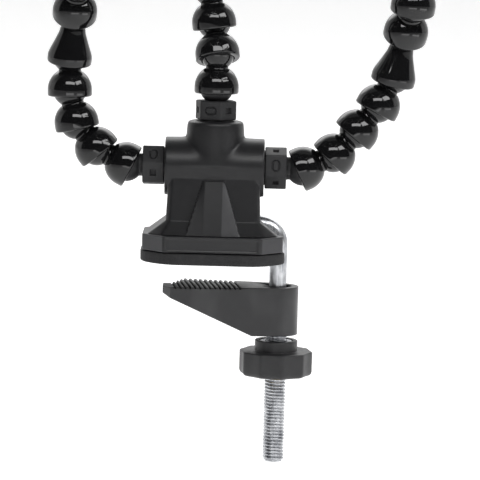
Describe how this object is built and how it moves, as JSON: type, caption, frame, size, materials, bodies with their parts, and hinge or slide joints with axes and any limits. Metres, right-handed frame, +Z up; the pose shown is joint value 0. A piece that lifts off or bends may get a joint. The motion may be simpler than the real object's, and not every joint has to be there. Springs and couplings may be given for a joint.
{
  "type": "helping hands magnifier",
  "caption": "Bench-clamp helping hands: jointed ball-and-socket arms on a padded hub carry spring clips and a tilting magnifier lens; an L rod, jaw and knob clamp it to a table edge.",
  "frame": {"origin": "centre of the pad's underside, where it rests on the bench top", "axes": "+Z up, +X towards the clamp rod (right as seen from the front), -Y towards the user"},
  "size_m": [0.1444, 0.136, 0.2757],
  "materials": {
    "cast_charcoal": "semi-matte, fine cast texture",
    "charcoal_plastic": "semi-matte moulded",
    "gloss_black": "high gloss moulded",
    "connector_plastic": "fine-grained matte",
    "pad_rubber": "matte, fine texture",
    "bright_zinc": "bright zinc plating",
    "brass_insert": "turned",
    "nickel_sheet": "bright nickel plate",
    "lens_glass": "polished"
  },
  "bodies": {
    "base": {"base_pad": "pad_rubber", "base_plate": "cast_charcoal", "base_screw_left": "bright_zinc", "base_screw_right": "bright_zinc", "clamp_rod": "bright_zinc", "connector_left": "connector_plastic", "connector_right": "connector_plastic", "connector_top": "connector_plastic", "hub": "cast_charcoal", "rod_set_screw": "bright_zinc"},
    "clamp_washer": {"clamp_washer": "bright_zinc"},
    "left_clip_holder": {"left_clip_holder": "gloss_black", "left_clip_fixed_jaw": "nickel_sheet", "left_clip_pin": "bright_zinc", "left_clip_spring": "bright_zinc"},
    "right_link_6": {"right_link_6": "gloss_black"},
    "lens_ring": {"lens_ring": "charcoal_plastic", "lens": "lens_glass", "lens_retainer": "charcoal_plastic"},
    "lens_link_1": {"lens_link_1": "gloss_black"},
    "lens_link_4": {"lens_link_4": "gloss_black"},
    "right_link_5": {"right_link_5": "gloss_black"},
    "clamp_knob": {"clamp_knob": "charcoal_plastic", "knob_insert": "brass_insert"},
    "right_link_7": {"right_link_7": "gloss_black"},
    "left_link_5": {"left_link_5": "gloss_black"},
    "lens_link_3": {"lens_link_3": "gloss_black"},
    "left_link_7": {"left_link_7": "gloss_black"},
    "left_link_6": {"left_link_6": "gloss_black"},
    "lens_link_6": {"lens_link_6": "gloss_black"},
    "lens_link_2": {"lens_link_2": "gloss_black"},
    "left_clip_moving_jaw": {"left_clip_moving_jaw": "nickel_sheet"},
    "right_link_2": {"right_link_2": "gloss_black"},
    "right_link_3": {"right_link_3": "gloss_black"},
    "right_link_4": {"right_link_4": "gloss_black"},
    "lens_holder": {"lens_holder": "charcoal_plastic", "tilt_nut": "bright_zinc", "tilt_screw": "bright_zinc"},
    "left_link_1": {"left_link_1": "gloss_black"},
    "right_clip_moving_jaw": {"right_clip_moving_jaw": "nickel_sheet"},
    "lens_link_5": {"lens_link_5": "gloss_black"},
    "right_clip_holder": {"right_clip_holder": "gloss_black", "right_clip_fixed_jaw": "nickel_sheet", "right_clip_pin": "bright_zinc", "right_clip_spring": "bright_zinc"},
    "lens_link_7": {"lens_link_7": "gloss_black"},
    "left_long_link": {"left_long_link": "gloss_black"},
    "clamp_jaw": {"clamp_jaw": "charcoal_plastic"},
    "lens_link_8": {"lens_link_8": "gloss_black"},
    "left_link_3": {"left_link_3": "gloss_black"},
    "left_link_2": {"left_link_2": "gloss_black"},
    "right_long_link": {"right_long_link": "gloss_black"},
    "left_link_4": {"left_link_4": "gloss_black"},
    "right_link_1": {"right_link_1": "gloss_black"}
  },
  "joints": [
    {"name": "left_link_1_bend", "type": "hinge", "parent": "base", "child": "left_link_1", "pos_m": [-0.033, 0, 0.0351], "axis": [0, 1, 0], "range_deg": [-54.5, 1]},
    {"name": "left_link_2_bend", "type": "hinge", "parent": "left_link_1", "child": "left_link_2", "pos_m": [-0.0441, 0, 0.04063], "axis": [0, -1, 0], "range_deg": [-3.5, 52]},
    {"name": "left_link_3_bend", "type": "hinge", "parent": "left_link_2", "child": "left_link_3", "pos_m": [-0.0519, 0, 0.05027], "axis": [0, 1, 0], "range_deg": [-54, 1.5]},
    {"name": "left_link_4_bend", "type": "hinge", "parent": "left_link_3", "child": "left_link_4", "pos_m": [-0.05463, 0, 0.06237], "axis": [0.9998, 0, 0.0175], "range_deg": [-25.5, 25.5]},
    {"name": "left_long_link_bend", "type": "hinge", "parent": "left_link_4", "child": "left_long_link", "pos_m": [-0.05484, 0, 0.07476], "axis": [0.8643, 0.5027, 0.0151], "range_deg": [-41.5, 14]},
    {"name": "left_link_5_bend", "type": "hinge", "parent": "left_long_link", "child": "left_link_5", "pos_m": [-0.05302, -0.00364, 0.09179], "axis": [-0.9946, -0.0276, 0.1004], "range_deg": [-1.5, 54]},
    {"name": "left_link_6_bend", "type": "hinge", "parent": "left_link_5", "child": "left_link_6", "pos_m": [-0.05183, -0.01127, 0.10148], "axis": [-0.9889, 0.0307, 0.1456], "range_deg": [-54, 1.5]},
    {"name": "left_link_7_bend", "type": "hinge", "parent": "left_link_6", "child": "left_link_7", "pos_m": [-0.05015, -0.01385, 0.11349], "axis": [0.077, -0.7671, -0.6369], "range_deg": [-9, 9]},
    {"name": "left_clip_holder_bend", "type": "hinge", "parent": "left_link_7", "child": "left_clip_holder", "pos_m": [-0.04778, -0.02149, 0.12298], "axis": [0.9492, 0.3143, 0.0164], "range_deg": [-53, 2.5]},
    {"name": "left_clip_open", "type": "hinge", "parent": "left_clip_holder", "child": "left_clip_moving_jaw", "pos_m": [-0.03911, -0.04833, 0.13583], "axis": [-0.9492, -0.3143, -0.0164], "range_deg": [0, 18], "stiffness_Nm_per_rad": 0.2, "springref_deg": -20.05},
    {"name": "right_link_1_bend", "type": "hinge", "parent": "base", "child": "right_link_1", "pos_m": [0.033, 0, 0.0351], "axis": [0, -1, 0], "range_deg": [-52.5, 3]},
    {"name": "right_link_2_bend", "type": "hinge", "parent": "right_link_1", "child": "right_link_2", "pos_m": [0.04424, 0, 0.04034], "axis": [0, 1, 0], "range_deg": [-5, 50.5]},
    {"name": "right_link_3_bend", "type": "hinge", "parent": "right_link_2", "child": "right_link_3", "pos_m": [0.05253, 0, 0.04956], "axis": [0.7826, 0, -0.6225], "range_deg": [-27.5, 27.5]},
    {"name": "right_link_4_bend", "type": "hinge", "parent": "right_link_3", "child": "right_link_4", "pos_m": [0.06026, 0, 0.05926], "axis": [0, 1, 0], "range_deg": [-15.5, 40]},
    {"name": "right_long_link_bend", "type": "hinge", "parent": "right_link_4", "child": "right_long_link", "pos_m": [0.06579, 0, 0.07036], "axis": [0.8186, 0.5685, -0.0817], "range_deg": [-22.5, 22.5]},
    {"name": "right_link_5_bend", "type": "hinge", "parent": "right_long_link", "child": "right_link_5", "pos_m": [0.06958, -0.00304, 0.08717], "axis": [-0.9717, 0.0565, 0.2292], "range_deg": [-2.5, 53]},
    {"name": "right_link_6_bend", "type": "hinge", "parent": "right_link_5", "child": "right_link_6", "pos_m": [0.07151, -0.01015, 0.09714], "axis": [-0.9715, -0.2363, 0.0203], "range_deg": [-44.5, 11]},
    {"name": "right_link_7_bend", "type": "hinge", "parent": "right_link_6", "child": "right_link_7", "pos_m": [0.07274, -0.01419, 0.1088], "axis": [-0.3673, -0.6883, -0.6255], "range_deg": [-15.5, 15.5]},
    {"name": "right_clip_holder_bend", "type": "hinge", "parent": "right_link_7", "child": "right_clip_holder", "pos_m": [0.07209, -0.02232, 0.11814], "axis": [0.914, -0.3353, -0.2283], "range_deg": [-53, 2.5]},
    {"name": "right_clip_open", "type": "hinge", "parent": "right_clip_holder", "child": "right_clip_moving_jaw", "pos_m": [0.06525, -0.0497, 0.13099], "axis": [-0.914, 0.3353, 0.2283], "range_deg": [0, 18], "stiffness_Nm_per_rad": 0.2, "springref_deg": -20.05},
    {"name": "lens_link_1_bend", "type": "hinge", "parent": "base", "child": "lens_link_1", "pos_m": [0, 0, 0.0648], "axis": [-1, 0, 0], "range_deg": [-17, 17]},
    {"name": "lens_link_2_bend", "type": "hinge", "parent": "lens_link_1", "child": "lens_link_2", "pos_m": [0, 0, 0.0772], "axis": [0.9455, 0.3257, 0], "range_deg": [-4.5, 51]},
    {"name": "lens_link_3_bend", "type": "hinge", "parent": "lens_link_2", "child": "lens_link_3", "pos_m": [-0.0016, 0.00464, 0.08858], "axis": [0.9903, 0, 0.1392], "range_deg": [-48.5, 7]},
    {"name": "lens_link_4_bend", "type": "hinge", "parent": "lens_link_3", "child": "lens_link_4", "pos_m": [-0.00333, 0.00486, 0.10086], "axis": [-0.7752, -0.624, -0.098], "range_deg": [-21.5, 34]},
    {"name": "lens_link_5_bend", "type": "hinge", "parent": "lens_link_4", "child": "lens_link_5", "pos_m": [-0.00419, 0.004, 0.1132], "axis": [0.7063, 0.7011, 0.0985], "range_deg": [-33.5, 22]},
    {"name": "lens_link_6_bend", "type": "hinge", "parent": "lens_link_5", "child": "lens_link_6", "pos_m": [-0.00419, 0.00227, 0.12548], "axis": [-0.9944, -0.105, -0.0148], "range_deg": [-18.5, 37]},
    {"name": "lens_link_7_bend", "type": "hinge", "parent": "lens_link_6", "child": "lens_link_7", "pos_m": [-0.00398, -0.00136, 0.13734], "axis": [-0.0566, 0.8637, 0.5009], "range_deg": [-25, 25]},
    {"name": "lens_link_8_bend", "type": "hinge", "parent": "lens_link_7", "child": "lens_link_8", "pos_m": [-0.00361, -0.00756, 0.14807], "axis": [-0.0251, -0.6947, -0.7189], "range_deg": [-23, 23]},
    {"name": "lens_holder_bend", "type": "hinge", "parent": "lens_link_8", "child": "lens_holder", "pos_m": [-0.00331, -0.01647, 0.15668], "axis": [0.9994, 0, -0.0349], "range_deg": [-49.5, 6]},
    {"name": "lens_tilt", "type": "hinge", "parent": "lens_holder", "child": "lens_ring", "pos_m": [-0.00297, -0.04058, 0.16641], "axis": [0.9994, 0, -0.0349], "range_deg": [-42, 42]},
    {"name": "clamp_travel", "type": "slide", "parent": "base", "child": "clamp_washer", "axis": [0, 0, 1], "range_m": [-0.028, 0.0088]},
    {"name": "jaw_swivel", "type": "hinge", "parent": "clamp_washer", "child": "clamp_jaw", "pos_m": [0.0248, 0, -0.0183], "axis": [0, 0, 1], "continuous": true},
    {"name": "knob_spin", "type": "hinge", "parent": "clamp_washer", "child": "clamp_knob", "pos_m": [0.0248, 0, -0.0384], "axis": [0, 0, 1], "range_deg": [-8064, 2535]}
  ],
  "couplings": [
    {"joint": "knob_spin", "follows": "clamp_travel", "rad_per_m": 5026.5}
  ]
}
